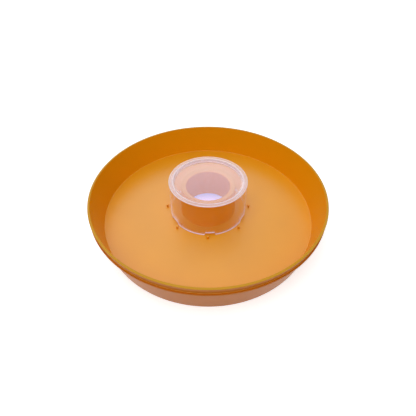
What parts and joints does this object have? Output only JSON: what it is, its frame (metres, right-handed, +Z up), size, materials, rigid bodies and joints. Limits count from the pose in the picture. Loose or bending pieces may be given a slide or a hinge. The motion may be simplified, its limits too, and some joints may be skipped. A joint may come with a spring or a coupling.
{
  "type": "round feeder",
  "caption": "Round open feeder dish with a flared wall, stop flange and hollow centre chimney, under a clear notched cap that lifts off.",
  "frame": {"origin": "on the centre line, at the plane that the dish stands on", "axes": "+Z up along the centre line, -Y towards the side that faces the viewer of the picture"},
  "size_m": [0.25, 0.25, 0.0503],
  "materials": {
    "orange_plastic": "glossy moulded, slightly translucent",
    "clear_plastic": "clear moulded"
  },
  "bodies": {
    "root": {"feeder_dish": "orange_plastic", "clear_cap": "clear_plastic"}
  },
  "joints": []
}
